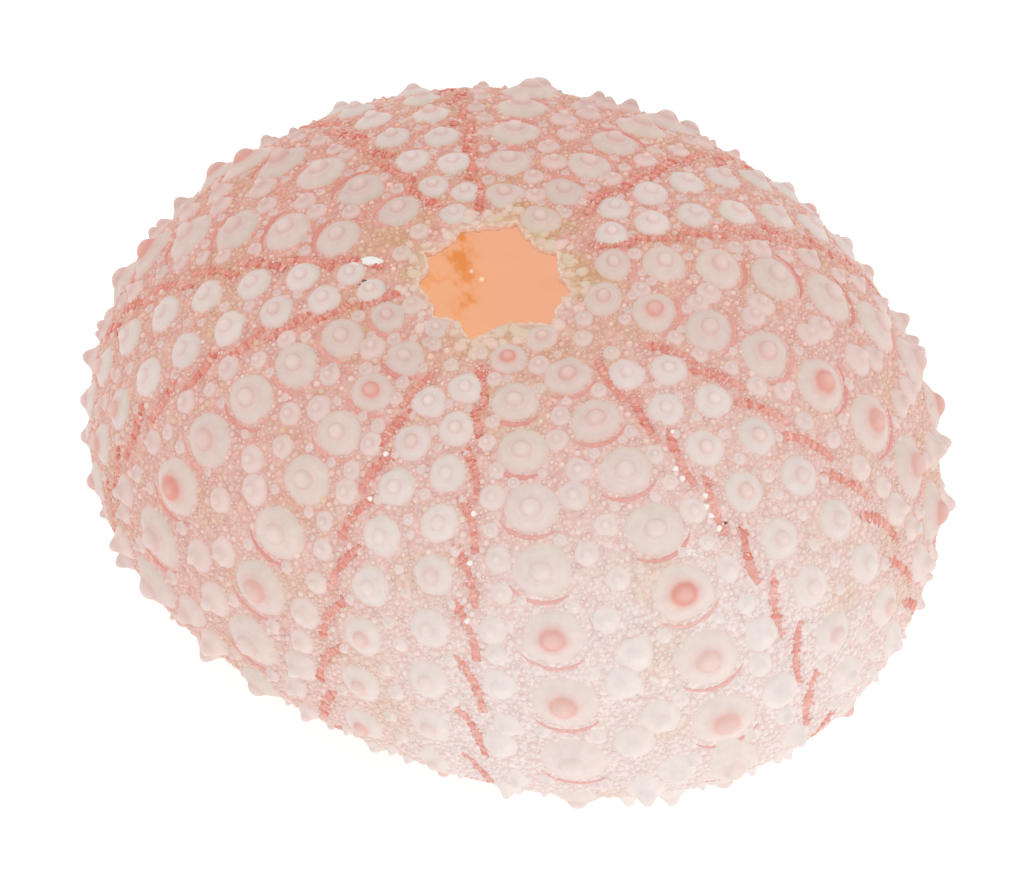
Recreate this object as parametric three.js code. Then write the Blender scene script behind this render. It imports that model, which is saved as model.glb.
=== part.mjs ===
// Sea urchin shell, bare of its spines: one hollow shell, slightly long in plan, with a scalloped hole at
// its crown and the mouth opening underneath. Twenty columns of plates run from hole to mouth, and each
// plate carries one large tubercle. Millimetres, +Z up; the shell rests on the worn tips of its lowest
// tubercles.

import * as THREE from 'three';

// Plain shell, tubercles left out
const LONG_HALF = 30.2;
const SHORT_HALF = 24.6;
const LONG_AZIMUTH = 135;
const CROWN_HEIGHT = 19.8;
const BASE_DEPTH = 9.3;
const CROWN_FULLNESS = 0.734;
const BASE_FULLNESS = 0.84;
const CROWN_LEAN_X = 0.022;
const CROWN_LEAN_Y = -0.02;
const THREE_LOBE_SWELL = 0.023;
const THREE_LOBE_AZIMUTH = 47.8;
const FOUR_LOBE_SWELL = 0.01;
const FOUR_LOBE_AZIMUTH = 4;
const MOUTH_SINK = 5;
const MOUTH_SINK_SHARE = 0.62;

// Wall, and the two openings
const WALL = 1.25;
const RIM_WALL = 0.75;
const MOUTH_SHARE = 0.36;
const GILL_NOTCH_SHARE = 0.02;
const GILL_NOTCH_HALF = 4;
// Corners of the hole at the crown: azimuth, distance from the crown's axis, and how far the edge bows
// in towards the hole before the next corner
const HOLE_CORNERS = [
  [13, 4.3, 0.45],
  [67, 4.65, 0.05],
  [111, 4.9, 0.35],
  [145, 5.3, 0.45],
  [172, 5.3, 0.25],
  [207, 5.05, 0.6],
  [243, 5.4, 0.65],
  [303, 5.55, 0.35],
  [333, 5.15, 0.4],
];

// Columns of plates. Five ambulacra with pore lines alternate with five broader interambulacra, each
// of two columns. The azimuths are those of their midlines, the spreads are degrees from a midline to
// the row of tubercles on each side, and the first colatitudes are those of each row's top tubercle.
const AMBULACRUM = {
  azimuths: [239.3, 311.2, 25.7, 97.9, 174.1],
  spread: 5.5,
  spreadAtCrown: 0,
  pitch: 2.72,
  pitchGrowth: 1.34,
  corners: 5,
  first: [[18.5, 14.4], [16.1, 19.9], [12, 15.3], [10.4, 7.4], [12.9, 10.8]],
};
const INTERAMBULACRUM = {
  azimuths: [273.9, 350, 61, 139.6, 207.5],
  spread: 10.5,
  spreadAtCrown: 1.6,
  pitch: 2.77,
  pitchGrowth: 2.25,
  corners: 6,
  first: [[8.8, 6.6], [8.9, 10.2], [7.2, 9.7], [11.7, 15.8], [10.7, 7.8]],
};
const AMBULACRUM_HALF = 13.1;
const BASE_PITCH_SHARE = 0.8;
const LEAST_ROOM_SHARE = 0.4;

// One tubercle, in shares of its plate's height
const BOSS_RADIUS = 0.4;
const BOSS_HEIGHT = 0.02;
const KNOB_RADIUS = 0.13;
const KNOB_HEIGHT = 0.14;
const TIP_HEIGHT = 0.18;
const ROOM_TO_EDGE = 0.85;

// Where the worn tips end, below the widest level, and where the crown's axis stands
const REST_LEVEL = -8.6;
const AXIS_X = 0.44;
const AXIS_Y = 0.39;

const SHELL_COLOUR = 0xe9cdc4;

// How finely it is cut up: rows of the inside, most and least degrees between points round the openings,
// steps along a meridian, and the steps of a millimetre that tell two points apart
const INNER_ROWS = 9;
const WIDEST_GAP = 9;
const LEAST_GAP = 2;
const MARCH_STEPS = 8;
const SAME_POINT = 1e4;

const { degToRad, radToDeg, lerp, euclideanModulo } = THREE.MathUtils;
const MEAN_HALF = (LONG_HALF + SHORT_HALF) / 2;
const MOUTH_COLATITUDE = 180 - radToDeg(Math.asin(MOUTH_SHARE ** (1 / BASE_FULLNESS)));

// Radius at a colatitude as a share of the widest radius
function girthShare(colatitude) {
  const fullness = colatitude > 90 ? BASE_FULLNESS : CROWN_FULLNESS;
  return Math.sin(degToRad(colatitude)) ** fullness;
}

// Small lobes that keep the plan from being a true ellipse
function planSwell(azimuth) {
  const three = THREE_LOBE_SWELL * Math.cos(degToRad(3 * (azimuth - THREE_LOBE_AZIMUTH)));
  const four = FOUR_LOBE_SWELL * Math.cos(degToRad(4 * (azimuth - FOUR_LOBE_AZIMUTH)));
  return 1 + three + four;
}

// A point of the widest outline, before the crown's lean
function planPoint(azimuth) {
  const angle = degToRad(azimuth - LONG_AZIMUTH);
  const swell = planSwell(azimuth);
  const point = new THREE.Vector2(LONG_HALF * swell * Math.cos(angle), SHORT_HALF * swell * Math.sin(angle));
  return point.rotateAround(new THREE.Vector2(), degToRad(LONG_AZIMUTH));
}

// Height over the widest level; near the mouth the base turns up into the shell
function levelAt(colatitude) {
  const cosine = Math.cos(degToRad(colatitude));
  if (cosine >= 0) return CROWN_HEIGHT * cosine;
  const share = girthShare(colatitude);
  const sink = share < MOUTH_SINK_SHARE ? MOUTH_SINK * (1 - share / MOUTH_SINK_SHARE) ** 2 : 0;
  return BASE_DEPTH * cosine + sink;
}

function shellPoint(azimuth, colatitude) {
  const plan = planPoint(azimuth).multiplyScalar(girthShare(colatitude));
  const level = levelAt(colatitude);
  return new THREE.Vector3(
    AXIS_X + plan.x + CROWN_LEAN_X * level,
    AXIS_Y + plan.y + CROWN_LEAN_Y * level,
    level - REST_LEVEL,
  );
}

// East, north and outward directions on the plain shell
function shellAxes(azimuth, colatitude) {
  const step = 0.05;
  const east = shellPoint(azimuth + step, colatitude).sub(shellPoint(azimuth - step, colatitude)).normalize();
  const toNorth = shellPoint(azimuth, colatitude - step).sub(shellPoint(azimuth, colatitude + step));
  const outward = new THREE.Vector3().crossVectors(east, toNorth).normalize();
  const north = new THREE.Vector3().crossVectors(outward, east);
  return { east, north, outward };
}

// The pattern angle is even all round, with ambulacrum k at 72 k degrees and interambulacrum k half way
// to the next; this gives the azimuth that it has on the real, uneven shell
const MIDLINES = AMBULACRUM.azimuths.flatMap((azimuth, k) => [azimuth, INTERAMBULACRUM.azimuths[k]]);
function azimuthOf(patternAngle) {
  const place = euclideanModulo(patternAngle, 360) / 36;
  const before = Math.floor(place) % MIDLINES.length;
  const from = MIDLINES[before];
  const span = euclideanModulo(MIDLINES[(before + 1) % MIDLINES.length] - from, 360);
  return euclideanModulo(from + span * (place - Math.floor(place)), 360);
}

// The way down a mean meridian: degrees of colatitude in a millimetre
function colatitudePerMm(colatitude) {
  const step = 0.01;
  const across = MEAN_HALF * (girthShare(colatitude + step) - girthShare(colatitude - step));
  const down = levelAt(colatitude + step) - levelAt(colatitude - step);
  return (2 * step) / Math.hypot(across, down);
}

function colatitudeBelow(colatitude, distance) {
  let at = colatitude;
  for (let step = 0; step < MARCH_STEPS; step += 1) {
    at += (colatitudePerMm(at) * distance) / MARCH_STEPS;
  }
  return at;
}

function plateHeight(kind, colatitude) {
  const height = kind.pitch + kind.pitchGrowth * girthShare(colatitude);
  return colatitude > 90 ? height * BASE_PITCH_SHARE : height;
}

// Distance from the crown's axis to the edge of the hole
function holeRadius(azimuth) {
  const count = HOLE_CORNERS.length;
  const next = HOLE_CORNERS.findIndex((corner) => corner[0] > azimuth);
  const second = next < 0 ? 0 : next;
  const [fromAzimuth, fromRadius, bow] = HOLE_CORNERS[(second + count - 1) % count];
  const [toAzimuth, toRadius] = HOLE_CORNERS[second];
  const span = euclideanModulo(toAzimuth - fromAzimuth, 360);
  const part = euclideanModulo(azimuth - fromAzimuth, 360) / span;
  const chord = degToRad(span);
  const straight = (fromRadius * toRadius * Math.sin(chord))
    / (fromRadius * Math.sin(part * chord) + toRadius * Math.sin((1 - part) * chord));
  return straight - bow * Math.sin(Math.PI * part);
}

function holeColatitude(azimuth) {
  const plan = planPoint(azimuth);
  const planAzimuth = euclideanModulo(radToDeg(plan.angle()), 360);
  const share = holeRadius(planAzimuth) / plan.length();
  return radToDeg(Math.asin(share ** (1 / CROWN_FULLNESS)));
}

// The mouth's edge has a shallow gill notch where each ambulacrum begins
function mouthColatitude(azimuth) {
  const away = GILL_AZIMUTHS.map((gill) => Math.abs(euclideanModulo(azimuth - gill + 180, 360) - 180));
  const share = MOUTH_SHARE + GILL_NOTCH_SHARE * Math.max(0, 1 - Math.min(...away) / GILL_NOTCH_HALF);
  return 180 - radToDeg(Math.asin(share ** (1 / BASE_FULLNESS)));
}

// A column of plates from hole to mouth, as long as a share of a plate's height is left above the mouth:
// the azimuths of its edges and of its tubercles
function column(kind, midAngle, side, first) {
  const ambulacral = kind === AMBULACRUM;
  const inner = midAngle;
  const outer = midAngle + side * (ambulacral ? AMBULACRUM_HALF : 36 - AMBULACRUM_HALF);
  const centres = [];
  let colatitude = first;
  while (colatitudeBelow(colatitude, plateHeight(kind, colatitude) * LEAST_ROOM_SHARE) < MOUTH_COLATITUDE) {
    centres.push(colatitude);
    colatitude = colatitudeBelow(colatitude, plateHeight(kind, colatitude));
  }
  const edges = centres.slice(1).map((centre, i) => (centre + centres[i]) / 2);
  return {
    kind,
    edges,
    centres,
    west: azimuthOf(Math.min(inner, outer)),
    east: azimuthOf(Math.max(inner, outer)),
    tubercleAzimuth: (at) => {
      const spread = kind.spread + kind.spreadAtCrown * (1 - Math.sin(degToRad(at)));
      return azimuthOf(midAngle + side * spread);
    },
  };
}

function columnsOf(kind, firstMidAngle) {
  return kind.first.flatMap(([west, east], k) => {
    const midAngle = firstMidAngle + 72 * k;
    return [column(kind, midAngle, -1, west), column(kind, midAngle, 1, east)];
  });
}

const GILL_AZIMUTHS = [0, 1, 2, 3, 4].flatMap((k) => [
  azimuthOf(72 * k - AMBULACRUM_HALF),
  azimuthOf(72 * k + AMBULACRUM_HALF),
]);

const COLUMNS = [...columnsOf(AMBULACRUM, 0), ...columnsOf(INTERAMBULACRUM, 36)]
  .sort((a, b) => a.west - b.west);

// The azimuths of the points round both openings: every column edge, every hole corner that isn't right
// beside one, and points between wherever those are far apart
function openingAzimuths() {
  const corners = HOLE_CORNERS.map(([azimuth, radius]) => {
    const away = degToRad(azimuth - LONG_AZIMUTH);
    const level = new THREE.Vector2(
      (radius * Math.cos(away)) / LONG_HALF,
      (radius * Math.sin(away)) / SHORT_HALF,
    );
    return euclideanModulo(radToDeg(level.angle()) + LONG_AZIMUTH, 360);
  });
  const edges = COLUMNS.map((each) => each.west);
  const apart = corners.filter((corner) => edges.every((edge) => Math.abs(edge - corner) > LEAST_GAP));
  const fixed = [...edges, ...apart].sort((a, b) => a - b);
  return fixed.flatMap((azimuth, i) => {
    const span = euclideanModulo(fixed[(i + 1) % fixed.length] - azimuth, 360);
    const parts = Math.ceil(span / WIDEST_GAP);
    return Array.from({ length: parts }, (_, part) => euclideanModulo(azimuth + (span * part) / parts, 360));
  });
}

const positions = [];
const triangles = [];
const known = new Map();

// Index of a vertex; two calls for one place give one vertex. What would reach below the surface that
// the shell rests on is worn flat.
function vertex(point) {
  const place = new THREE.Vector3(point.x, point.y, Math.max(point.z, 0));
  const key = place.toArray().map((value) => Math.round(value * SAME_POINT)).join();
  if (!known.has(key)) {
    known.set(key, positions.length / 3);
    positions.push(...place.toArray());
  }
  return known.get(key);
}

function triangle(a, b, c) {
  if (a !== b && b !== c && c !== a) triangles.push(a, b, c);
}

function vertexAt(index) {
  return new THREE.Vector3().fromArray(positions, 3 * index);
}

// The ring of surface points round one plate, counterclockwise seen from outside: down its west edge,
// along the bottom, up its east edge and back along the top
function plateRing(each, row, openings) {
  const inSpan = (azimuth) => euclideanModulo(azimuth - each.west, 360)
    < euclideanModulo(each.east - each.west, 360);
  const across = openings.filter((azimuth) => inSpan(azimuth) && azimuth !== each.west)
    .sort((a, b) => euclideanModulo(a - each.west, 360) - euclideanModulo(b - each.west, 360));
  const middle = (level) => (each.kind === INTERAMBULACRUM ? [each.tubercleAzimuth(level)] : []);
  const isTop = row === 0;
  const isBottom = row === each.centres.length - 1;
  const top = (azimuth) => (isTop ? holeColatitude(azimuth) : each.edges[row - 1]);
  const bottom = (azimuth) => (isBottom ? mouthColatitude(azimuth) : each.edges[row]);
  const side = (azimuth) => {
    const levels = COLUMNS.filter((other) => other.west === azimuth || other.east === azimuth)
      .flatMap((other) => other.edges)
      .filter((level) => level > top(azimuth) + 1e-6 && level < bottom(azimuth) - 1e-6)
      .sort((a, b) => a - b);
    return [top(azimuth), ...levels, bottom(azimuth)];
  };
  const alongBottom = isBottom ? across : middle(each.edges[row]);
  const alongTop = isTop ? [...across].reverse() : middle(each.edges[row - 1]);
  const places = [
    ...side(each.west).map((level) => [each.west, level]),
    ...alongBottom.map((azimuth) => [azimuth, bottom(azimuth)]),
    ...side(each.east).reverse().map((level) => [each.east, level]),
    ...alongTop.map((azimuth) => [azimuth, top(azimuth)]),
  ];
  return places.map(([azimuth, colatitude]) => vertex(shellPoint(azimuth, colatitude)));
}

// Signed angle from one bearing to another
function turn(from, to) {
  return euclideanModulo(to - from + Math.PI, 2 * Math.PI) - Math.PI;
}

// Bearings of the middles of a loop's edges, counted on past a full turn
function edgeMiddles(bearings, start) {
  let at = start;
  return bearings.slice(1).map((bearing, i) => {
    const step = turn(bearings[i], bearing);
    at += step;
    return at - step / 2;
  });
}

// Joins an outer ring to an inner one, both counterclockwise round the same centre. Of the next edges
// of the two rings, the one whose middle comes first gets the next triangle.
function joinRings(outer, inner, centre, { east, north }) {
  const bearing = (index) => {
    const away = vertexAt(index).sub(centre);
    return Math.atan2(away.dot(north), away.dot(east));
  };
  const first = bearing(outer[0]);
  const lead = (index) => turn(first, bearing(index));
  const nearest = inner.reduce((best, index) => (
    Math.abs(lead(index)) < Math.abs(lead(best)) ? index : best));
  const start = inner.indexOf(nearest);
  const outerLoop = [...outer, outer[0]];
  const innerLoop = [...inner.slice(start), ...inner.slice(0, start), nearest];
  const outerMiddles = edgeMiddles(outerLoop.map(bearing), 0);
  const innerMiddles = edgeMiddles(innerLoop.map(bearing), lead(nearest));
  let o = 0;
  let i = 0;
  while (o < outer.length || i < inner.length) {
    if (i === inner.length || outerMiddles[o] < innerMiddles[i]) {
      triangle(outerLoop[o], outerLoop[o + 1], innerLoop[i]);
      o += 1;
    } else {
      triangle(outerLoop[o], innerLoop[i + 1], innerLoop[i]);
      i += 1;
    }
  }
}

// A tubercle's unit of size: its plate's height, less where the plate's edge comes close
function tubercleSize(kind, colatitude, ring, centre) {
  const distances = ring.map((index, i) => {
    const edge = new THREE.Line3(vertexAt(index), vertexAt(ring[(i + 1) % ring.length]));
    return edge.closestPointToPoint(centre, true, new THREE.Vector3()).distanceTo(centre);
  });
  return Math.min(plateHeight(kind, colatitude), (ROOM_TO_EDGE * Math.min(...distances)) / BOSS_RADIUS);
}

// One plate: its ring, the boss that rises from it, and the round knob on top
function plate(each, row, openings) {
  const colatitude = each.centres[row];
  const azimuth = each.tubercleAzimuth(colatitude);
  const centre = shellPoint(azimuth, colatitude);
  const axes = shellAxes(azimuth, colatitude);
  const outer = plateRing(each, row, openings);
  const size = tubercleSize(each.kind, colatitude, outer, centre);
  const place = (radius, height, angle) => vertex(centre.clone()
    .addScaledVector(axes.east, radius * size * Math.cos(angle))
    .addScaledVector(axes.north, radius * size * Math.sin(angle))
    .addScaledVector(axes.outward, height * size));
  const ring = (radius, height) => Array.from({ length: each.kind.corners }, (_, corner) => (
    place(radius, height, (2 * Math.PI * corner) / each.kind.corners)));
  const boss = ring(BOSS_RADIUS, BOSS_HEIGHT);
  const knob = ring(KNOB_RADIUS, KNOB_HEIGHT);
  const tip = place(0, TIP_HEIGHT, 0);
  joinRings(outer, boss, centre, axes);
  boss.forEach((from, corner) => {
    const next = (corner + 1) % boss.length;
    triangle(from, boss[next], knob[corner]);
    triangle(boss[next], knob[next], knob[corner]);
    triangle(knob[corner], knob[next], tip);
  });
}

function outerSkin(openings) {
  COLUMNS.forEach((each) => each.centres.forEach((_, row) => plate(each, row, openings)));
}

// The smooth inside, and the cut edges of the wall round the hole and the mouth
function innerSkin(openings) {
  const rows = openings.map((azimuth) => {
    const top = holeColatitude(azimuth);
    const bottom = mouthColatitude(azimuth);
    return Array.from({ length: INNER_ROWS + 1 }, (_, row) => {
      const colatitude = lerp(top, bottom, row / INNER_ROWS);
      const wall = row === 0 || row === INNER_ROWS ? RIM_WALL : WALL;
      const { outward } = shellAxes(azimuth, colatitude);
      return vertex(shellPoint(azimuth, colatitude).addScaledVector(outward, -wall));
    });
  });
  openings.forEach((azimuth, i) => {
    const next = (i + 1) % openings.length;
    const nextAzimuth = openings[next];
    const topEdge = [azimuth, nextAzimuth].map((at) => vertex(shellPoint(at, holeColatitude(at))));
    const bottomEdge = [azimuth, nextAzimuth].map((at) => vertex(shellPoint(at, mouthColatitude(at))));
    const west = [topEdge[0], ...rows[i], bottomEdge[0]];
    const east = [topEdge[1], ...rows[next], bottomEdge[1]];
    west.slice(1).forEach((below, row) => {
      triangle(west[row], east[row], below);
      triangle(east[row], east[row + 1], below);
    });
  });
}

function shell() {
  const openings = openingAzimuths();
  outerSkin(openings);
  innerSkin(openings);
  const geometry = new THREE.BufferGeometry();
  geometry.setAttribute('position', new THREE.Float32BufferAttribute(positions, 3));
  geometry.setIndex(triangles);
  geometry.computeVertexNormals();
  const material = new THREE.MeshStandardMaterial({ color: SHELL_COLOUR, roughness: 0.75, metalness: 0 });
  const mesh = new THREE.Mesh(geometry, material);
  mesh.name = 'shell';
  return mesh;
}

const urchin = new THREE.Group();
urchin.add(shell());

export default urchin;
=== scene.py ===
import math

import bpy
import numpy as np
from mathutils import Matrix, Vector


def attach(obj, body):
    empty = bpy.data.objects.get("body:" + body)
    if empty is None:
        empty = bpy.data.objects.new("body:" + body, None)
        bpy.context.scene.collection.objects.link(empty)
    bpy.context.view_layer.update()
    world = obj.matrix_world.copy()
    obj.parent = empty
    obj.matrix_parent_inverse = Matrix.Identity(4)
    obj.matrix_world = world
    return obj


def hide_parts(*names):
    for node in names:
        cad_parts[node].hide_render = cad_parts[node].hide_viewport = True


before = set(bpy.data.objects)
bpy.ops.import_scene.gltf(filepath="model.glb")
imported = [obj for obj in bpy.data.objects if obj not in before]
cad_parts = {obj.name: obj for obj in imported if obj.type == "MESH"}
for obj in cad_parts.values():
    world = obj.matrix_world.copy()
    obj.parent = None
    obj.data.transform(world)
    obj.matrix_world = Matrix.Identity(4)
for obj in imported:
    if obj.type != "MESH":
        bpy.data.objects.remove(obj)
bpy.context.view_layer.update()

# Looks of a sea urchin shell bare of its spines. Lengths are millimetres and angles degrees until a mesh
# is made, which is in metres. The shell's form and the places of its plates are those of the solid.
METRES = 0.001
rng = np.random.default_rng(20)

# Plain shell, tubercles left out
LONG_HALF = 30.2
SHORT_HALF = 24.6
LONG_AZIMUTH = 135
CROWN_HEIGHT = 19.8
BASE_DEPTH = 9.3
CROWN_FULLNESS = 0.734
BASE_FULLNESS = 0.84
CROWN_LEAN = np.array([0.022, -0.02])
THREE_LOBE_SWELL = 0.023
THREE_LOBE_AZIMUTH = 47.8
FOUR_LOBE_SWELL = 0.01
FOUR_LOBE_AZIMUTH = 4
MOUTH_SINK = 5
MOUTH_SINK_SHARE = 0.62
REST_LEVEL = -8.6
AXIS = np.array([0.44, 0.39])
MEAN_HALF = (LONG_HALF + SHORT_HALF) / 2

# Wall, and the two openings
WALL = 1.25
RIM_WALL = 0.5
RIM_THINNING = 0.06
MOUTH_SHARE = 0.36
GILL_NOTCH_SHARE = 0.02
GILL_NOTCH_HALF = 4
# Corners of the hole at the crown: azimuth, distance from the crown's axis, and how far the edge bows
# in towards the hole before the next corner
HOLE_CORNERS = np.array([
    [13, 4.3, 0.45], [67, 4.65, 0.05], [111, 4.9, 0.35], [145, 5.3, 0.45],
    [172, 5.3, 0.25], [207, 5.05, 0.6], [243, 5.4, 0.65], [303, 5.55, 0.35],
    [333, 5.15, 0.4],
])
RIPPLE = 0.07
RIPPLE_WAVES = np.array([[17, 1.0], [29, 2.4], [43, 4.1]])

# Columns of plates: azimuths of the midlines, degrees from a midline to its tubercles, plate height
# at the crown and its growth to the widest level, radius of the bare ring round a tubercle in plate
# heights, and the colatitude of each column's top tubercle
AMBULACRUM = {
    "azimuths": [239.3, 311.2, 25.7, 97.9, 174.1],
    "spread": 5.5,
    "spread_at_crown": 0,
    "pitch": 2.72,
    "pitch_growth": 1.34,
    "areole": 0.39,
    "first": [[18.5, 14.4], [16.1, 19.9], [12, 15.3], [10.4, 7.4], [12.9, 10.8]],
}
INTERAMBULACRUM = {
    "azimuths": [273.9, 350, 61, 139.6, 207.5],
    "spread": 10.5,
    "spread_at_crown": 1.6,
    "pitch": 2.77,
    "pitch_growth": 2.25,
    "areole": 0.45,
    "first": [[8.8, 6.6], [8.9, 10.2], [7.2, 9.7], [11.7, 15.8], [10.7, 7.8]],
}
AMBULACRUM_HALF = 13.1
BASE_PITCH_SHARE = 0.8
LEAST_ROOM_SHARE = 0.4
MARCH_STEPS = 8

# Large tubercles: shares of the room they have, and how much wider than high the broad plates' are
ROOM_BETWEEN = 0.49
ROOM_TO_RIM = 0.95
BROAD_STRETCH = 1.08
# Large tubercles that are red on top: azimuth, colatitude and how red
REDDISH = np.array([
    [260.7, 8.7, 0.8], [217.8, 20.3, 0.7], [338.3, 14.8, 0.6], [285.9, 49.7, 0.9],
    [196.6, 61.8, 0.9], [339.2, 43.4, 0.8], [340.2, 57.5, 0.6], [154.0, 54.7, 0.7],
    [129.3, 44.7, 0.6], [263.5, 56.2, 0.6],
])
# Beyond a colatitude, a part of the others is red too, within a range
RED_LOW_FROM = 58
RED_LOW_PART = 0.4
RED_LOW_RANGE = (0.15, 0.6)

# Small tubercles of a plate: degrees from the midline, then drop below the large one and radius as
# shares of plate height, and the scatter of the degrees
BROAD_SECONDARIES = (
    (2.0, 0.72, 0.25, 0.6),
    (19.8, -0.05, 0.2, 0.6),
    (18.9, 0.45, 0.15, 0.6),
    (14.5, 0.5, 0.1, 0.6),
    (6.5, 0.5, 0.1, 0.6),
)
NARROW_SECONDARIES = ((0.9, 0.5, 0.12, 0.3), (9.0, 0.42, 0.1, 0.3))
# Low on the sides they grow wider and taller by these shares, from one colatitude on and over a span of it
LOW_GROWTH = 0.35
LOW_RISE = 0.25
LOW_FROM = 50
LOW_OVER = 30
DROP_SCATTER = 0.05
SECONDARY_RANGE = (0.8, 1.15)
SECONDARY_MARGIN = 4
SECONDARY_OVERLAP = 0.3
LEAST_SECONDARY = 0.3
LARGEST_SECONDARY = 1.45
# Knobs beside the hole: azimuth, colatitude and radius
RIM_KNOBS = np.array([
    [131.4, 7.6, 0.75], [102.6, 8.0, 0.7], [152.8, 7.6, 0.7], [195.7, 7.4, 0.8],
    [235.9, 11.7, 0.55], [248.1, 8.6, 0.5], [308.9, 12.8, 0.6], [305.8, 9.1, 0.7],
    [318.0, 7.8, 0.65],
])

# Pore arcs: degrees from the midline, and plate heights up from the tubercle
PORE_PATH = np.array([[9.2, 0.6], [10.9, 0.42], [12.0, 0.2], [12.8, -0.06], [13.1, -0.38]])
PORE_STATIONS = 13
PORE_MARKS = 9
# Half width of the band, at this plate height
PORE_HALF_WIDTH = 0.33
PORE_PLATE = 3.8
ARC_JITTER = 0.25
ARC_MARGIN = 1.5
MARK_LENGTH = 0.105
MARK_WIDTH = 0.036
MARK_HEIGHTS = (0.06, 0.13)
MARK_SEGMENTS = 8
ARC_GRAINS = 26
ARC_GRAIN_RADII = (0.07, 0.15)
LARGE_ARC_GRAIN_RADII = (0.15, 0.2)
LARGE_ARC_GRAIN_PART = 12
ARC_SCATTER = 0.075

# Crescents below the large tubercles of the broad columns, painted shadow on the lower side of each bare
# ring
CRESCENT_STATIONS = 15
CRESCENT_HALF_ANGLE = 50
CRESCENT_HALF_WIDTH = 0.2
CRESCENT_REACH = 1.13
CRESCENT_LEAN = 7
CRESCENT_LEVELS = (10, 125)

# Edges between broad plates: degrees from the midline, and drop below the tubercle in plate heights
EDGE_REACH = 22
EDGE_STATIONS = 12
EDGE_DROP = 0.5
EDGE_WAVE = 0.04

# Grains: radii, the share that is coarse, and how close they may come
GRAIN_TRIES = 170000
COARSE_SHARE = 0.2
COARSE_RADII = (0.16, 0.29)
FINE_RADII = (0.105, 0.17)
GRAIN_SPACING = 0.86
GRAIN_CELL = 0.34
COARSE_SEGMENTS = 6
FINE_SEGMENTS = 5
GRAIN_GOLD_PART = 0.25
GRAIN_CORAL_PART = 0.25
# Shares of a tubercle's radius that grains stay out of, and distances kept from pores and crescents
KEPT_OF_LARGE = 0.9
KEPT_OF_SMALL = 0.92
PORE_CLEARANCE = 0.3
CRESCENT_CLEARANCE = 0.12
# Grains above this height are one piece and those below it another
UPPER_LEVEL = 9

# Lumps along the edge of the hole
RIM_LUMPS = 120
RIM_LUMP_RADII = (0.18, 0.5)
RIM_LUMP_SEGMENTS = 10
SINGLE_SEGMENTS = 12

# Single things on the surface: azimuth, colatitude, half length, half width, height, turn and colour
WHITE_GRAINS = np.array([
    [250.7, 43.6], [250.4, 54.7], [251.1, 34.6], [302.1, 26.3], [296.4, 31.0], [296.3, 32.8],
    [298.2, 37.0], [297.0, 38.5], [296.7, 40.2], [296.7, 42.6], [229.6, 29.7], [230.2, 38.3],
])
CHIPS = [
    (161.4, 10.6, 0.95, 0.4, 0.3, 82, (246, 243, 237)),
    (164.6, 12.4, 0.5, 0.3, 0.22, 60, (240, 233, 224)),
    (173.5, 11.3, 0.24, 0.12, 0.18, 70, (124, 88, 66)),
    (175.3, 11.9, 0.12, 0.09, 0.14, 10, (150, 108, 84)),
    (298.4, 42.5, 0.13, 0.1, 0.16, 0, (132, 86, 66)),
    (298.7, 49.3, 0.42, 0.25, 0.12, 70, (226, 140, 88)),
]
SCRATCHES = [
    (289.5, 43.6, -25), (290.1, 44.6, -40), (288.8, 44.1, -10), (194.1, 57.7, 60), (194.8, 58.6, 75),
]

# Brown streak on the inside: azimuth, colatitude and half width, and one patch and two specks beside it
STREAK = np.array([
    [87.0, 120.0, 0.6], [87.3, 122.6, 0.45], [87.6, 125.0, 0.3], [88.0, 128.5, 0.75],
    [88.1, 131.0, 0.5], [87.9, 133.6, 0.4], [87.1, 136.0, 0.22], [87.9, 138.2, 0.2],
    [90.4, 139.9, 0.28],
])
PATCH = np.array([95.4, 132.6, 0.5])
INNER_SPECKS = np.array([[86.8, 131.7, 0.12], [85.2, 133.9, 0.17]])
STREAK_FIELD = (81, 99, 116, 144)
STREAK_CELLS = 90
STREAK_STEPS = 60
STREAK_FILM = 0.02
# How brown its halo, its core and the patch are, where that begins, and the distance over which it fades
STREAK_HALO = (0.25, 0.6, 0.9)
STREAK_CORE = (0.8, 0.1, 0.6)
PATCH_BROWN = (0.4, 0.5, 0.5)

# Colours, from 0 to 255
GROUND = (229, 180, 165)
PALE = (241, 228, 225)
PALE_TUBERCLE = (239, 228, 223)
STAIN = (212, 182, 128)
RIM = (250, 222, 206)
INSIDE = (228, 199, 178)
INSIDE_WEST = (230, 200, 170)
STREAK_BROWN = (218, 156, 92)
GRAIN = (238, 203, 191)
GRAIN_GOLD = (226, 188, 144)
CORAL = (226, 139, 122)
CORAL_LIGHT = (237, 180, 165)
CRESCENT_SHADOW = (222, 138, 128)
CREAM = (227, 206, 190)
RED_TOP = (228, 144, 128)
CHALK = (250, 246, 240)
SAGE_SHADE = (208, 200, 180)

# Painted glare, which pales the colour more where the light falls most: its least and most share, and its
# growth outward, by millimetre, less towards the back, and by the cube of the distance to the front
GLARE_LEAST = 0.07
GLARE_OUTWARD = 0.01
GLARE_BACKWARD = 0.018
GLARE_FRONT = 0.00004
GLARE_MOST = 1.3
# The stain's reach from the crown's axis, the distance over which it fades, and its lowest height
STAIN_REACH = 12
STAIN_FALL = 8
STAIN_LEVEL = 20
# How much of the painted glare, and of the stain, each kind of thing takes
GLARE_AND_STAIN = {
    "ground": (0.78, 0.8),
    "grain": (0.68, 0.6),
    "large": (0.5, 0.14),
    "small": (0.7, 0.14),
    "crescent": (0.3, 0),
    "band": (0.22, 0),
    "pore": (0.22, 0.2),
    "rim": (0.3, 0.3),
}

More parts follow.
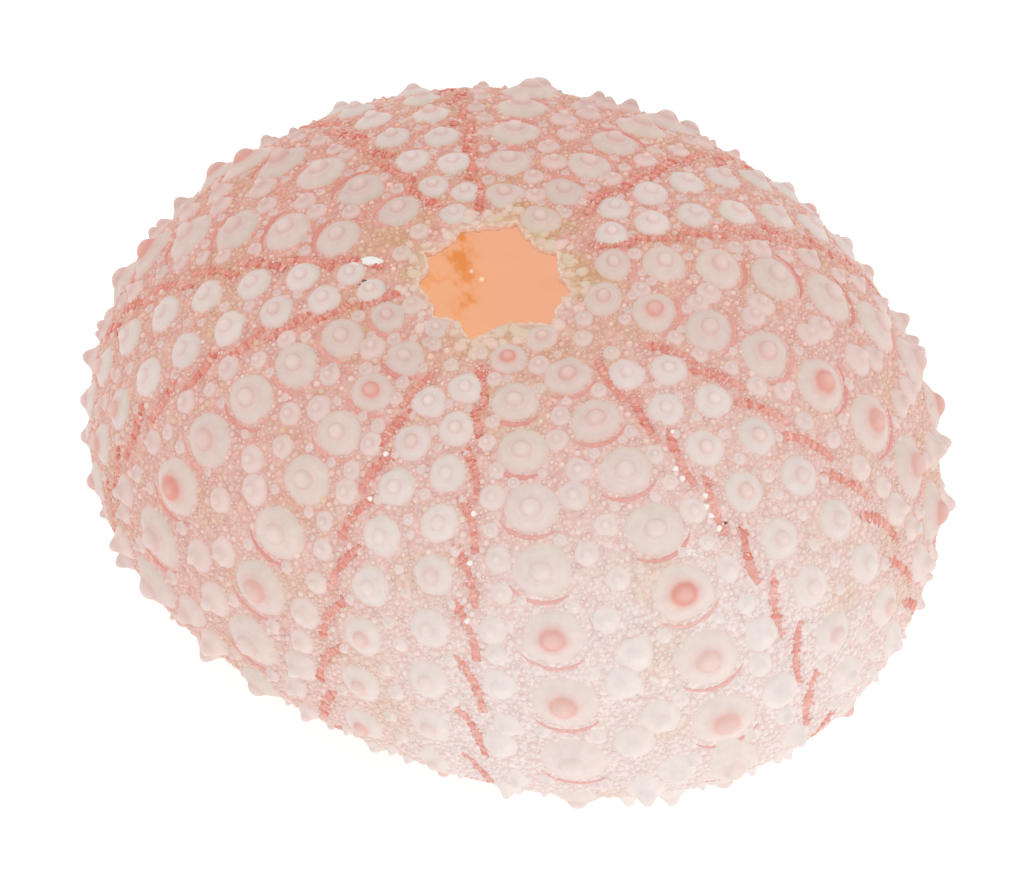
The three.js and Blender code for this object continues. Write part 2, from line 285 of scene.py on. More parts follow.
# Knob profiles run in from the foot, as radius and height in shares of the size, and end at the tip.
PRIMARY_PROFILE = [
    (1.08, -0.1), (1.0, -0.03), (0.9, 0.02), (0.78, 0.075), (0.66, 0.135), (0.57, 0.185), (0.51, 0.21),
    (0.45, 0.24), (0.39, 0.26), (0.34, 0.305), (0.28, 0.385), (0.2, 0.46), (0.11, 0.505), (0, 0.52),
]
# A knob's colours go from its foot to its bare ring and on to its tip, with darker circles round the boss
# and the head. The paler tip and the darker circles are partly the knob's own tones, and partly painted
# highlight and painted shade. Each circle has a radius, a width and a depth.
KNOB_FOOT = (227, 176, 164)
KNOB_DIP = (219, 181, 173)
KNOB_RISE = 0.42
KNOB_TOP = 0.5
BROAD_KNOB = {
    "bare": (223, 201, 192),
    "tip": (230, 203, 196),
    "circles": ((0.51, 0.05, 0.4), (0.34, 0.06, 0.9)),
}
NARROW_KNOB = {
    "bare": (227, 210, 204),
    "tip": (232, 210, 204),
    "circles": ((0.51, 0.05, 0.2), (0.34, 0.06, 0.55)),
}
SMALL_KNOB = {
    "bare": (228, 200, 192),
    "tip": (230, 203, 196),
    "circles": ((0.34, 0.11, 0.85),),
}
# Shares of red and of shade, for each ring of a large tubercle
RED_RINGS = np.array([0, 0, 0, 0, 0.05, 0.1, 0.18, 0.3, 0.55, 0.85, 0.85, 0.7, 0.6, 0.6])
SHADE_RINGS = np.array([0.2, 0.5, 0.6, 0.4, 0.2, 0.1, 0, 0, 0, 0, 0, 0, 0, 0])
PRIMARY_SEGMENTS = 20
SECONDARY_PROFILE = [
    (1.1, -0.15), (1.0, -0.02), (0.85, 0.08), (0.65, 0.2), (0.46, 0.31), (0.34, 0.46), (0.18, 0.63),
    (0, 0.69),
]
SECONDARY_SEGMENTS = 12
GRAIN_PROFILE = [(1.0, -0.35), (0.9, 0.12), (0.55, 0.52), (0, 0.65)]
FINE_PROFILE = [(1.0, -0.3), (0.65, 0.5), (0, 0.8)]
MARK_PROFILE = [(1.0, -1.5), (0.92, 0.3), (0.55, 0.85), (0, 1.0)]
PORE_GRAIN_PROFILE = [(1.0, -1.0), (0.65, 0.6), (0, 0.85)]
RIBBON_PROFILE = np.array([[-1, -0.07], [-0.7, 0.02], [0, 0.05], [0.7, 0.02], [1, -0.07]])

# How finely the shell's own skin is cut up
SKIN_COLUMNS = 384
RIM_PARTS = (0.0, 0.0012, 0.0024, 0.004)
OUTER_ROWS = 130
INNER_ROWS = 56

# Camera: the way it looks, and where the middle of the shell falls in its picture
CAMERA_ELEVATION = 51.46
CAMERA_ROLL = 10.02
CAMERA_DISTANCE = 667
CAMERA_LENS = 351.5
CAMERA_MOVE = (-0.69, 1.2)

# Light, in metres and watts: name, place, size and power of each lamp
LAMPS = (
    ("front", (0.16, -0.34, 0.16), 0.3, 0.2),
    ("left", (-0.38, -0.1, 0.2), 0.3, 0.05),
    ("top", (-0.05, 0.17, 0.48), 0.4, 0.28),
)
LAMPS_AIM = (0, 0, 0.012)
SKY_STRENGTH = 0.83
FLOOR_HALF = 3.0
FLOOR_SHADE = 0.6
FLOOR_GLOW = 0.6


# Form of the shell

def girth_share(colatitude):
    fullness = np.where(colatitude > 90, BASE_FULLNESS, CROWN_FULLNESS)
    return np.sin(np.radians(colatitude)) ** fullness


def plan_point(azimuth):
    three = THREE_LOBE_SWELL * np.cos(np.radians(3 * (azimuth - THREE_LOBE_AZIMUTH)))
    four = FOUR_LOBE_SWELL * np.cos(np.radians(4 * (azimuth - FOUR_LOBE_AZIMUTH)))
    angle = np.radians(azimuth - LONG_AZIMUTH)
    along = LONG_HALF * (1 + three + four) * np.cos(angle)
    across = SHORT_HALF * (1 + three + four) * np.sin(angle)
    turn = math.radians(LONG_AZIMUTH)
    x = along * math.cos(turn) - across * math.sin(turn)
    y = along * math.sin(turn) + across * math.cos(turn)
    return np.stack([x, y], -1)


def level_at(colatitude):
    cosine = np.cos(np.radians(colatitude))
    near_mouth = np.clip(1 - girth_share(colatitude) / MOUTH_SINK_SHARE, 0, None)
    return np.where(cosine >= 0, CROWN_HEIGHT * cosine, BASE_DEPTH * cosine + MOUTH_SINK * near_mouth ** 2)


def shell_point(azimuth, colatitude):
    azimuth, colatitude = np.broadcast_arrays(azimuth, colatitude)
    level = level_at(colatitude)[..., None]
    plan = AXIS + plan_point(azimuth) * girth_share(colatitude)[..., None] + CROWN_LEAN * level
    return np.concatenate([plan, level - REST_LEVEL], -1)


def unit(vectors):
    return vectors / np.linalg.norm(vectors, axis=-1, keepdims=True)


def slopes(azimuth, colatitude):
    """How the point moves for a degree of azimuth, and for a degree of colatitude."""
    step = 0.05
    along = shell_point(azimuth + step, colatitude) - shell_point(azimuth - step, colatitude)
    down = shell_point(azimuth, colatitude + step) - shell_point(azimuth, colatitude - step)
    return along / (2 * step), down / (2 * step)


def shell_axes(azimuth, colatitude):
    """Directions east, north and outward."""
    along, down = slopes(azimuth, colatitude)
    east = unit(along)
    outward = unit(np.cross(east, -down))
    return east, np.cross(outward, east), outward


def moved(azimuth, colatitude, east, north):
    """Azimuth and colatitude at distances east and north of a place."""
    along, down = slopes(azimuth, colatitude)
    east_axis, north_axis, _ = shell_axes(azimuth, colatitude)
    colatitude_step = north / np.sum(down * north_axis, -1)
    azimuth_step = (east - np.sum(down * east_axis, -1) * colatitude_step) / np.linalg.norm(along, axis=-1)
    return azimuth + azimuth_step, colatitude + colatitude_step


def raised(azimuth, colatitude, out):
    """Points at a distance out of places on the shell."""
    return shell_point(azimuth, colatitude) + shell_axes(azimuth, colatitude)[2] * np.asarray(out)[..., None]


# Plan of the plates

MIDLINES = np.array([a for pair in zip(AMBULACRUM["azimuths"], INTERAMBULACRUM["azimuths"]) for a in pair])
MIDLINE_STEPS = np.diff(np.append(MIDLINES, MIDLINES[0])) % 360
MIDLINES_GROWING = MIDLINES[0] + np.concatenate([[0], np.cumsum(MIDLINE_STEPS)])


def azimuth_of(pattern_angle):
    """Azimuth of an angle in the even pattern, with ambulacrum k at 72 k degrees."""
    return np.interp(pattern_angle % 360, 36.0 * np.arange(11), MIDLINES_GROWING) % 360


def colatitude_below(colatitude, distance):
    """Colatitude at a distance down a mean meridian, or up it where the distance is negative."""
    step = 0.01
    at = np.asarray(colatitude, float)
    for _ in range(MARCH_STEPS):
        across = MEAN_HALF * (girth_share(at + step) - girth_share(at - step))
        down = level_at(at + step) - level_at(at - step)
        at = at + distance / MARCH_STEPS * 2 * step / np.hypot(across, down)
    return at


def plate_height(kind, colatitude):
    height = kind["pitch"] + kind["pitch_growth"] * girth_share(colatitude)
    return np.where(colatitude > 90, height * BASE_PITCH_SHARE, height)


def hole_colatitude(azimuth):
    plan = plan_point(azimuth)
    angle = np.degrees(np.arctan2(plan[..., 1], plan[..., 0])) % 360
    second = np.searchsorted(HOLE_CORNERS[:, 0], angle, side="right") % len(HOLE_CORNERS)
    from_angle, from_radius, bow = np.moveaxis(HOLE_CORNERS[second - 1], -1, 0)
    to_angle, to_radius, _ = np.moveaxis(HOLE_CORNERS[second], -1, 0)
    span = (to_angle - from_angle) % 360
    part = (angle - from_angle) % 360 / span
    chord = np.radians(span)
    straight = from_radius * to_radius * np.sin(chord) / (
        from_radius * np.sin(part * chord) + to_radius * np.sin((1 - part) * chord))
    share = (straight - bow * np.sin(np.pi * part)) / np.linalg.norm(plan, axis=-1)
    return np.degrees(np.arcsin(share ** (1 / CROWN_FULLNESS)))


def mouth_colatitude(azimuth):
    gills = azimuth_of(np.add.outer(72 * np.arange(5), [-AMBULACRUM_HALF, AMBULACRUM_HALF]).ravel())
    away = np.abs((np.subtract.outer(azimuth, gills) + 180) % 360 - 180).min(-1)
    share = MOUTH_SHARE + GILL_NOTCH_SHARE * np.clip(1 - away / GILL_NOTCH_HALF, 0, 1)
    return 180 - np.degrees(np.arcsin(share ** (1 / BASE_FULLNESS)))


MOUTH_COLATITUDE = 180 - math.degrees(math.asin(MOUTH_SHARE ** (1 / BASE_FULLNESS)))


def on_shell(azimuth, colatitude, margin):
    """Whether places lie between hole and mouth, at least so many degrees from both."""
    below_hole = colatitude > hole_colatitude(azimuth) + margin
    return below_hole & (colatitude < mouth_colatitude(azimuth) - margin)


def tubercle_colatitudes(kind, first):
    found = []
    colatitude = float(first)
    while colatitude_below(colatitude, plate_height(kind, colatitude) * LEAST_ROOM_SHARE) < MOUTH_COLATITUDE:
        found.append(colatitude)
        colatitude = float(colatitude_below(colatitude, plate_height(kind, colatitude)))
    return np.array(found)


def columns_of(kind, first_middle):
    """Each column's middle line, the side of it that it lies on, and its tubercles' colatitudes."""
    return [
        (first_middle + 72 * k, side, tubercle_colatitudes(kind, first))
        for k, pair in enumerate(kind["first"])
        for side, first in zip((-1, 1), pair)
    ]


NARROW_COLUMNS = columns_of(AMBULACRUM, 0)
BROAD_COLUMNS = columns_of(INTERAMBULACRUM, 36)


def gather(rows):
    """One array for each field of a list of equal tuples."""
    return [np.concatenate([np.asarray(row[i], float) for row in rows]) for i in range(len(rows[0]))]


def gap_to(points, centres, radii):
    """Distance from each point to the nearest of some balls; negative inside one."""
    flat = points.reshape(-1, 3)
    gaps = np.empty(len(flat))
    batch = 4000
    for start in range(0, len(flat), batch):
        part = flat[start:start + batch]
        square = (part ** 2).sum(-1)[:, None] + (centres ** 2).sum(-1) - 2 * part @ centres.T
        gaps[start:start + batch] = (np.sqrt(np.clip(square, 0, None)) - radii).min(-1)
    return gaps.reshape(points.shape[:-1])


# Where things lie

def find_primaries():
    """Large tubercles: azimuth, colatitude, radius of the bare ring, place, and whether a broad plate's."""
    rows = []
    for kind, columns, broad in ((AMBULACRUM, NARROW_COLUMNS, 0), (INTERAMBULACRUM, BROAD_COLUMNS, 1)):
        for middle, side, colatitude in columns:
            spread = kind["spread"] + kind["spread_at_crown"] * (1 - np.sin(np.radians(colatitude)))
            radius = kind["areole"] * plate_height(kind, colatitude)
            rows.append((azimuth_of(middle + side * spread), colatitude, radius, 0 * colatitude + broad))
    azimuth, colatitude, radius, broad = gather(rows)
    places = shell_point(azimuth, colatitude)
    apart = np.linalg.norm(places[:, None] - places, axis=-1)
    np.fill_diagonal(apart, np.inf)
    round_hole = np.arange(360.0)
    to_rim = gap_to(places, shell_point(round_hole, hole_colatitude(round_hole)), 0)
    radius = np.minimum(radius, np.minimum(apart.min(-1) * ROOM_BETWEEN, to_rim * ROOM_TO_RIM))
    return azimuth, colatitude, radius, places, broad == 1


LARGE_AZIMUTH, LARGE_COLATITUDE, LARGE_RADIUS, LARGE_PLACES, LARGE_IS_BROAD = find_primaries()


def lowness(colatitude):
    """0 on the upper shell, and 1 low on its sides."""
    return np.clip((colatitude - LOW_FROM) / LOW_OVER, 0, 1)


def find_secondaries():
    """Small tubercles, by plate and beside the hole: azimuth, colatitude, radius and place."""
    rows = [(RIM_KNOBS[:, 0], RIM_KNOBS[:, 1], RIM_KNOBS[:, 2])]
    for kind, columns, pattern in (
        (INTERAMBULACRUM, BROAD_COLUMNS, BROAD_SECONDARIES),
        (AMBULACRUM, NARROW_COLUMNS, NARROW_SECONDARIES),
    ):
        for offset, drop, share, scatter in pattern:
            for middle, side, colatitudes in columns:
                height = plate_height(kind, colatitudes)
                count = len(height)
                level = colatitude_below(colatitudes, (drop + rng.normal(0, DROP_SCATTER, count)) * height)
                azimuth = azimuth_of(middle + side * (offset + rng.normal(0, scatter, count)))
                kept = on_shell(azimuth, level, SECONDARY_MARGIN)
                grown = 1 + LOW_GROWTH * lowness(level)
                radius = share * height * grown * rng.uniform(*SECONDARY_RANGE, count)
                rows.append((azimuth[kept], level[kept], radius[kept]))
    azimuth, colatitude, radius = gather(rows)
    places = shell_point(azimuth, colatitude)
    free = gap_to(places, LARGE_PLACES, LARGE_RADIUS)
    radius = np.minimum(np.minimum(radius, LARGEST_SECONDARY), free + SECONDARY_OVERLAP)
    kept = radius > LEAST_SECONDARY
    return azimuth[kept], colatitude[kept], radius[kept], places[kept]


SMALL_AZIMUTH, SMALL_COLATITUDE, SMALL_RADIUS, SMALL_PLACES = find_secondaries()


def find_pore_arcs():
    """Middle lines of the pore arcs, as azimuth and colatitude by arc and station, and plate heights."""
    share = np.linspace(0, 1, PORE_STATIONS)
    knots = np.linspace(0, 1, len(PORE_PATH))
    away = np.interp(share, knots, PORE_PATH[:, 0])
    up = np.interp(share, knots, PORE_PATH[:, 1])
    rows = []
    for middle, side, colatitudes in NARROW_COLUMNS:
        height = plate_height(AMBULACRUM, colatitudes)[:, None] + 0 * share
        level = colatitude_below(colatitudes[:, None] + 0 * share, -up * height)
        jitter = rng.normal(0, ARC_JITTER, (len(colatitudes), 1))
        azimuth = azimuth_of(middle + side * (away + jitter))
        kept = on_shell(azimuth, level, ARC_MARGIN).all(1)
        rows.append((azimuth[kept], level[kept], height[kept]))
    return gather(rows)


ARC_AZIMUTH, ARC_COLATITUDE, ARC_HEIGHT = find_pore_arcs()
ARC_PLACES = shell_point(ARC_AZIMUTH, ARC_COLATITUDE).reshape(-1, 3)


def find_crescents():
    """Middle lines of the crescents, painted shadow below the broad plates' large tubercles."""
    top, bottom = CRESCENT_LEVELS
    chosen = LARGE_IS_BROAD & (LARGE_COLATITUDE > top) & (LARGE_COLATITUDE < bottom)
    count = chosen.sum()
    reach = (LARGE_RADIUS[chosen] * CRESCENT_REACH)[:, None]
    lean = rng.normal(0, CRESCENT_LEAN, (count, 1))
    bearing = np.radians(lean - 90 + CRESCENT_HALF_ANGLE * np.linspace(-1, 1, CRESCENT_STATIONS))
    return moved(
        LARGE_AZIMUTH[chosen][:, None], LARGE_COLATITUDE[chosen][:, None],
        BROAD_STRETCH * reach * np.cos(bearing), reach * np.sin(bearing) / BROAD_STRETCH)


CRESCENT_AZIMUTH, CRESCENT_COLATITUDE = find_crescents()
CRESCENT_PLACES = shell_point(CRESCENT_AZIMUTH, CRESCENT_COLATITUDE).reshape(-1, 3)


def find_plate_edges():
    """Places along the edges between the broad columns' plates."""
    offsets = np.linspace(0, EDGE_REACH, EDGE_STATIONS)
    rows = []
    for middle, side, colatitudes in BROAD_COLUMNS:
        height = plate_height(INTERAMBULACRUM, colatitudes)[:, None]
        bend = EDGE_DROP + EDGE_WAVE * np.cos(offsets)
        level = colatitude_below(colatitudes[:, None] + 0 * offsets, bend * height)
        rows.append((shell_point(azimuth_of(middle + side * offsets), level).reshape(-1, 3),))
    return gather(rows)[0]


EDGE_PLACES = find_plate_edges()


# Colours over the surface

WAVES = rng.normal(0, 1, (3, 8, 3))
PHASES = rng.uniform(0, 2 * np.pi, (3, 8))


def drift(points, size, kind=0):
    """A smooth random value of about -2 to 2 that changes over a distance."""
    return np.cos(points @ WAVES[kind].T / size + PHASES[kind]).sum(-1) / 2


def tint(colours, other, share):
    """Colours moved towards another by a share of the way, which may differ for each."""
    return colours + (np.asarray(other, float) - colours) * np.asarray(share)[..., None]


def plain(colour, *shape):
    """One colour, repeated."""
    return np.broadcast_to(np.array(colour, float), (*shape, 3))


def glare_share(points):
    """How much painted glare pales the surface: more down the shell and on its front, where the light falls
    most.
    """
    x, y = points[..., 0] - AXIS[0], points[..., 1] - AXIS[1]
    front = GLARE_FRONT * np.clip(-y, 0, None) ** 3
    return np.clip(GLARE_LEAST + GLARE_OUTWARD * np.hypot(x, y) - GLARE_BACKWARD * y + front, 0, GLARE_MOST)


def stained_share(points):
    """How yellow the surface is: in blotches, most round the hole."""
    away = np.hypot(points[..., 0] - AXIS[0], points[..., 1] - AXIS[1])
    near_hole = np.clip((STAIN_REACH - away) / STAIN_FALL, 0, 1) * (points[..., 2] > STAIN_LEVEL)
    blotch = np.clip(0.45 + 0.5 * drift(points, 0.9), 0, 1)
    return near_hole * blotch + 0.2 * np.clip(drift(points, 2.2, 1) - 0.6, 0, 1)


def glared_and_stained(colours, points, kind, pale=PALE):
    """Colours paled by painted glare and stained, as the places where they lie are."""
    glare, stain = GLARE_AND_STAIN[kind]
    glared = tint(colours, pale, np.clip(glare * glare_share(points), 0, 1))
    return tint(glared, STAIN, stain * stained_share(points))


def inside_colours(points):
    """Colour of the inside wall, pinker to the east and in faint bands."""
    west = np.clip(0.5 - points[..., 0] / 8, 0, 1)
    colours = tint(plain(INSIDE, *points.shape[:-1]), INSIDE_WEST, west)
    return colours * (1 + 0.006 * drift(points * np.array([0.2, 1, 3]), 0.9, 2))[..., None]


# Meshes

def linear(colours):
    """Scene values of colours given as 0 to 255."""
    shares = np.asarray(colours, float) / 255
    return np.where(shares <= 0.04045, shares / 12.92, ((shares + 0.055) / 1.055) ** 2.4)


def make_piece(name, points, faces, colours, materials, face_materials=None):
    """A smooth mesh that stands for the solid. What would reach below the surface that the shell rests
    on is worn flat."""
    points = points.reshape(-1, 3) * METRES
    points[:, 2] = np.maximum(points[:, 2], 0)
    corners = faces.shape[1]
    mesh = bpy.data.meshes.new(name)
    mesh.vertices.add(len(points))
    mesh.vertices.foreach_set("co", points.astype(np.float32).ravel())
    mesh.loops.add(faces.size)
    mesh.loops.foreach_set("vertex_index", faces.astype(np.int32).ravel())
    mesh.polygons.add(len(faces))
    mesh.polygons.foreach_set("loop_start", np.arange(0, faces.size, corners, dtype=np.int32))
    mesh.polygons.foreach_set("use_smooth", np.ones(len(faces), bool))
    if face_materials is not None:
        mesh.polygons.foreach_set("material_index", face_materials.astype(np.int32))
    layer = mesh.color_attributes.new("Colour", "FLOAT_COLOR", "POINT")
    values = np.ones((len(points), 4), np.float32)
    values[:, :3] = linear(np.clip(colours.reshape(-1, 3), 0, 255))
    layer.data.foreach_set("color", values.ravel())
    for material in materials:
        mesh.materials.append(material)
    mesh.update()
    mesh.validate()
    piece = bpy.data.objects.new(name, mesh)
    bpy.context.scene.collection.objects.link(piece)
    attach(piece, "root")
    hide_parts("shell")


def repeated(one, count, per_item):
    """Faces of many equal items from those of one."""
    return (one + per_item * np.arange(count)[:, None, None]).reshape(-1, one.shape[1])


def lumps(azimuth, colatitude, long, wide, tall, turn, profile, segments, wobble=0):
    """Lumps on the shell with oval rings, turned by an angle from east. The profile's radii and heights
    are shares of each lump's. Gives points as (lump, point, xyz), and triangles."""
    count = len(azimuth)
    radius, height = np.array(profile).T
    rings = len(radius) - 1
    angle = 2 * np.pi * np.arange(segments) / segments
    lobes = np.array([2, 3, 5])[:, None, None]
    phases = rng.uniform(0, 2 * np.pi, (3, count, 1))
    uneven = wobble * (rng.normal(0, 1, (3, count, 1)) * np.cos(lobes * angle + phases)).sum(0)
    spread = radius[:-1, None] * (1 + uneven[:, None] * radius[:-1, None] ** 2)
    tip = np.zeros((count, 1))
    along = np.concatenate([(spread * np.cos(angle)).reshape(count, -1), tip], 1)
    along = along * np.reshape(long, (-1, 1))
    across = np.concatenate([(spread * np.sin(angle)).reshape(count, -1), tip], 1)
    across = across * np.reshape(wide, (-1, 1))
    cosine, sine = np.cos(np.reshape(turn, (-1, 1))), np.sin(np.reshape(turn, (-1, 1)))
    out = np.append(np.repeat(height[:-1], segments), height[-1]) * np.reshape(tall, (-1, 1))
    east, north = along * cosine - across * sine, along * sine + across * cosine
    at = moved(azimuth[:, None], colatitude[:, None], east, north)
    points = raised(*at, np.broadcast_to(out, at[0].shape))
    ring, corner = np.meshgrid(np.arange(rings - 1), np.arange(segments), indexing="ij")
    a, b = ring * segments + corner, ring * segments + (corner + 1) % segments
    c, d = a + segments, b + segments
    last = (rings - 1) * segments + np.arange(segments)
    cap = np.stack([last, np.roll(last, -1), np.full(segments, rings * segments)], -1)
    lower, upper = np.stack([a, b, d], -1).reshape(-1, 3), np.stack([a, d, c], -1).reshape(-1, 3)
    one = np.concatenate([lower, upper, cap])
    return points, repeated(one, count, rings * segments + 1)


def ring_colours(count, rings, segments):
    """Colours of lumps' points from one colour for each ring and one for the tip."""
    rings = np.asarray(rings, float)
    one = np.concatenate([np.repeat(rings[:-1], segments, axis=0), rings[-1:]])
    return np.repeat(one[None], count, axis=0)


def knob_colours(profile, look):
    """A colour for each ring of a knob, from its foot to its tip."""
    radius = np.array(profile)[:, 0]
    risen = np.sin(np.pi / 2 * np.clip((radius[0] - radius) / KNOB_RISE, 0, 1))
    colours = tint(np.tile(KNOB_FOOT, (len(radius), 1)), look["bare"], risen)
    # The paler tip is partly painted highlight.
    colours = tint(colours, look["tip"], np.clip(1 - radius / KNOB_TOP, 0, 1))
    # The darker circles are partly painted shade, at the edge of the boss and the foot of the head.
    for middle, width, depth in look["circles"]:
        colours = tint(colours, KNOB_DIP, depth * np.exp(-((radius - middle) / width) ** 2))
    return colours


def ribbons(azimuth, colatitude, half_width):
    """Low bands along middle lines. Gives points as (band, station, across, xyz), and quads."""
    count, stations = azimuth.shape
    across = len(RIBBON_PROFILE)
    run = np.gradient(shell_point(azimuth, colatitude), axis=1)
    east_axis, north_axis, _ = shell_axes(azimuth, colatitude)
    bearing = np.arctan2((run * north_axis).sum(-1), (run * east_axis).sum(-1)) + np.pi / 2
    away = (half_width[..., None] * RIBBON_PROFILE[:, 0])
    at = moved(
        azimuth[..., None], colatitude[..., None],
        away * np.cos(bearing)[..., None], away * np.sin(bearing)[..., None])
    points = raised(*at, np.broadcast_to(RIBBON_PROFILE[:, 1], at[0].shape))
    i, j = np.meshgrid(np.arange(stations - 1), np.arange(across - 1), indexing="ij")
    a = i * across + j
    one = np.stack([a, a + across, a + across + 1, a + 1], -1).reshape(-1, 4)
    return points, repeated(one, count, stations * across)


# Materials

def node_maker(made):
    nodes = made.node_tree.nodes
    links = made.node_tree.links

    def node(kind, inputs, **settings):
        new = nodes.new(kind)
        for key, value in settings.items():
            setattr(new, key, value)
        for key, value in inputs.items():
            if isinstance(value, bpy.types.NodeSocket):
                links.new(value, new.inputs[key])
            else:
                new.inputs[key].default_value = value
        return new

    return node, links


def chalk(name, roughness, relief, scale, mottle, cells=0, glow=0):
    """A chalky surface in the piece's own colours, with fine grain in colour, roughness and relief. It
    may have granules, darker and redder between, and may glow."""
    made = bpy.data.materials.new(name)
    made.use_nodes = True
    shader = made.node_tree.nodes["Principled BSDF"]
    node, links = node_maker(made)
    own = node("ShaderNodeAttribute", {}, attribute_name="Colour")
    place = node("ShaderNodeTexCoord", {})
    grain = node("ShaderNodeTexNoise", {"Vector": place.outputs["Object"], "Scale": scale, "Detail": 4.0})
    shade = node("ShaderNodeMapRange", {
        "Value": grain.outputs["Fac"], "From Min": 0.3, "From Max": 0.7,
        "To Min": 1 - mottle, "To Max": 1 + mottle})
    scaled = node("ShaderNodeVectorMath", {
        0: own.outputs["Color"], "Scale": shade.outputs["Result"]}, operation="SCALE")
    colour, height = scaled.outputs["Vector"], grain.outputs["Fac"]
    if cells:
        granule = node("ShaderNodeTexVoronoi", {"Vector": place.outputs["Object"], "Scale": cells})
        between = node("ShaderNodeMapRange", {
            "Value": granule.outputs["Distance"], "From Min": 0.3, "From Max": 0.75,
            "To Min": 0.0, "To Max": 0.75})
        tinted = node("ShaderNodeMix", {
            "Factor": between.outputs["Result"], "A": colour, "B": (0.9, 0.72, 0.68, 1)},
            data_type="RGBA", blend_type="MULTIPLY")
        colour = tinted.outputs["Result"]
        height = node("ShaderNodeMath", {
            0: grain.outputs["Fac"], 1: granule.outputs["Distance"]}, operation="SUBTRACT").outputs["Value"]
    links.new(colour, shader.inputs["Base Color"])
    dull = node("ShaderNodeMapRange", {
        "Value": grain.outputs["Fac"], "To Min": roughness - 0.08, "To Max": roughness + 0.08})
    links.new(dull.outputs["Result"], shader.inputs["Roughness"])
    shader.inputs["Specular IOR Level"].default_value = 0.35
    # Painted light: the glow stands in for light that comes in through the thin wall.
    if glow:
        links.new(colour, shader.inputs["Emission Color"])
        shader.inputs["Emission Strength"].default_value = glow
    bump = node("ShaderNodeBump", {"Height": height, "Strength": relief, "Distance": 0.0001})
    links.new(bump.outputs["Normal"], shader.inputs["Normal"])
    return made


GROUND_LOOK = chalk("ground", 0.7, 0.7, 3000, 0.04, cells=2700)
# Painted light: the inside wall glows in its own colours, standing in for light that comes in through the
# thin wall.
INSIDE_LOOK = chalk("inside", 0.55, 0.1, 600, 0.015, glow=0.3)
TUBERCLE_LOOK = chalk("tubercle", 0.6, 0.4, 1500, 0.045)
GRAIN_LOOK = chalk("grain", 0.55, 0.2, 4000, 0.03)
CORAL_LOOK = chalk("coral", 0.65, 0.35, 4000, 0.1)


# Pieces

def wall_at(part):
    """Wall thickness by share of the way from hole to mouth: thin at both edges."""
    near = np.minimum(part, 1 - part)
    return RIM_WALL + (WALL - RIM_WALL) * np.clip(near / RIM_THINNING, 0, 1) ** 0.5


def skin_colours(outer, parts, near_pores):
    ground = plain(GROUND, *outer.shape[:-1])
    near_edges = gap_to(outer, EDGE_PLACES, 0)
    redness = 0.45 * np.clip(1 - near_edges / 0.7, 0, 1) * np.clip(0.6 + 0.5 * drift(outer, 0.4), 0, 1)
    redness = redness + 0.1 * np.clip(drift(outer, 0.7, 2), 0, 1)
    ground = tint(ground, CORAL, redness)
    ground = tint(ground, CORAL, 0.45 * np.clip(1.2 - near_pores / 0.6, 0, 1))
    ground = glared_and_stained(ground, outer, "ground") * (1 + 0.015 * drift(outer, 0.3, 1))[..., None]
    near_hole = np.clip(1 - parts / 0.012, 0, 1)[:, None] + 0 * near_pores
    ground = tint(ground, CREAM, 0.5 * near_hole)
    return tint(ground, RIM, np.clip(1 - parts / 0.003, 0, 1)[:, None] + 0 * near_pores)


def build_skin():
    azimuth = np.arange(SKIN_COLUMNS) * 360 / SKIN_COLUMNS
    ripple = sum(np.sin(np.radians(waves * azimuth) + phase) for waves, phase in RIPPLE_WAVES)
    top, bottom = hole_colatitude(azimuth) + RIPPLE * ripple, mouth_colatitude(azimuth)
    outer_parts = np.concatenate([RIM_PARTS, np.linspace(0.0065, 1, OUTER_ROWS)])
    inner_parts = np.linspace(1, 0, INNER_ROWS)
    outer_at = azimuth + 0 * outer_parts[:, None], top + (bottom - top) * outer_parts[:, None]
    inner_at = azimuth + 0 * inner_parts[:, None], top + (bottom - top) * inner_parts[:, None]
    near_pores = gap_to(shell_point(*outer_at), ARC_PLACES, 0)
    groove = 0.04 * np.clip(1 - near_pores / 0.9, 0, 1)
    outer = raised(*outer_at, -groove)
    inner = raised(*inner_at, -wall_at(inner_parts)[:, None] + 0 * inner_at[0])
    lip = np.array([0.25, 0.6])[:, None, None]
    bottom_lip = outer[-1] + (inner[0] - outer[-1]) * lip
    top_lip = inner[-1] + (outer[0] - inner[-1]) * lip
    points = np.concatenate([outer, bottom_lip, inner, top_lip])
    rows = len(points)
    row, column = np.meshgrid(np.arange(rows), np.arange(SKIN_COLUMNS), indexing="ij")
    below, beside = (row + 1) % rows, (column + 1) % SKIN_COLUMNS
    faces = np.stack([
        row * SKIN_COLUMNS + column, below * SKIN_COLUMNS + column,
        below * SKIN_COLUMNS + beside, row * SKIN_COLUMNS + beside], -1).reshape(-1, 4)
    first_inner = len(outer) + len(lip) - 1
    inside = (row >= first_inner) & (row < first_inner + INNER_ROWS)
    edge = plain(RIM, *bottom_lip.shape[:-1])
    own = skin_colours(shell_point(*outer_at), outer_parts, near_pores)
    colours = np.concatenate([own, edge, inside_colours(inner), edge])
    make_piece("shell_skin", points, faces, colours, [GROUND_LOOK, INSIDE_LOOK], inside.ravel())


